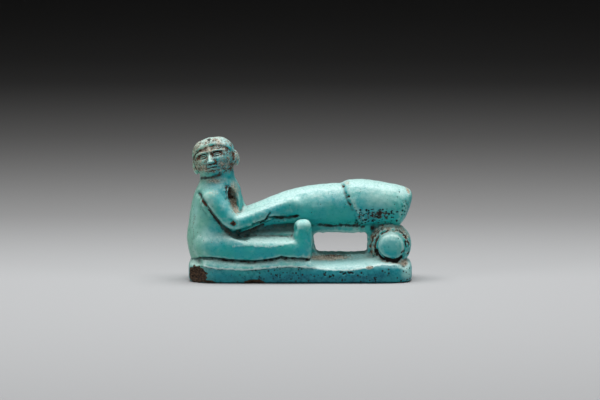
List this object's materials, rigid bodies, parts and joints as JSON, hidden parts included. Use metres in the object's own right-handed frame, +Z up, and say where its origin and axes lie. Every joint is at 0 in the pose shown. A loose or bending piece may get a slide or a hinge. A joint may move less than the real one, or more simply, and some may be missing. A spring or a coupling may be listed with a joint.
{
  "type": "phallic figurine",
  "caption": "Small moulded faience figurine of a seated man with his hands on an oversized phallus, which rests on a round drum and a pierced web over an oblong base.",
  "frame": {"origin": "middle of the footprint, on the flat underside of the base", "axes": "+X from the man's back towards the tip of the phallus, +Y away from the side the head looks out over, +Z up"},
  "size_m": [0.0546, 0.018, 0.0348],
  "materials": {
    "glazed_faience": "worn turquoise glaze with brown soil in the hollows"
  },
  "bodies": {
    "root": {"phallic_figurine": "glazed_faience"}
  },
  "joints": []
}
